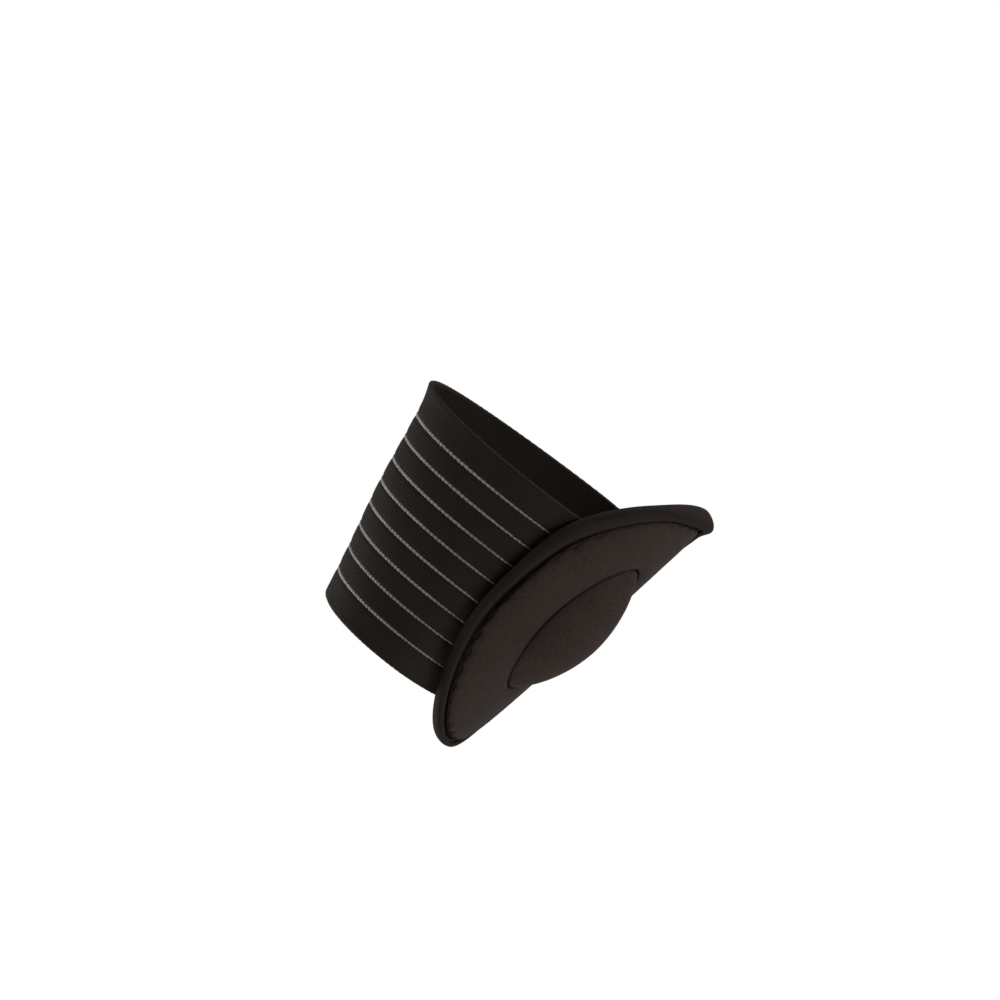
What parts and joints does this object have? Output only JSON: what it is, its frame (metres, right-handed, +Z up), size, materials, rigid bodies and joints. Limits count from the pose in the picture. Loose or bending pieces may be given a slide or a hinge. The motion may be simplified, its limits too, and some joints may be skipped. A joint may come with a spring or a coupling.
{
  "type": "arch support",
  "caption": "Oval padded arch support with a raised cushion, a bound edge and a wide ribbed elastic band that holds it under the arch of a foot.",
  "frame": {"origin": "the foot seat: the level of the sole on the pad's inner face, half way across the foot, at the middle of the pad's length", "axes": "+X along the foot to the heel, which is also the pad's length; +Z up from the sole; -Y to the inner side of the foot, where the pad turns up"},
  "size_m": [0.0947, 0.0782, 0.0816],
  "materials": {
    "band_elastic": "matte ribbed black elastic with thin pale grey stripes",
    "pad_skin": "satin brown-black soft skin",
    "cushion_skin": "satin brown-black soft skin",
    "binding_cloth": "matte black woven strip"
  },
  "bodies": {
    "root": {"elastic_band": "band_elastic", "arch_pad": "pad_skin", "arch_cushion": "cushion_skin", "edge_binding": "binding_cloth"}
  },
  "joints": []
}
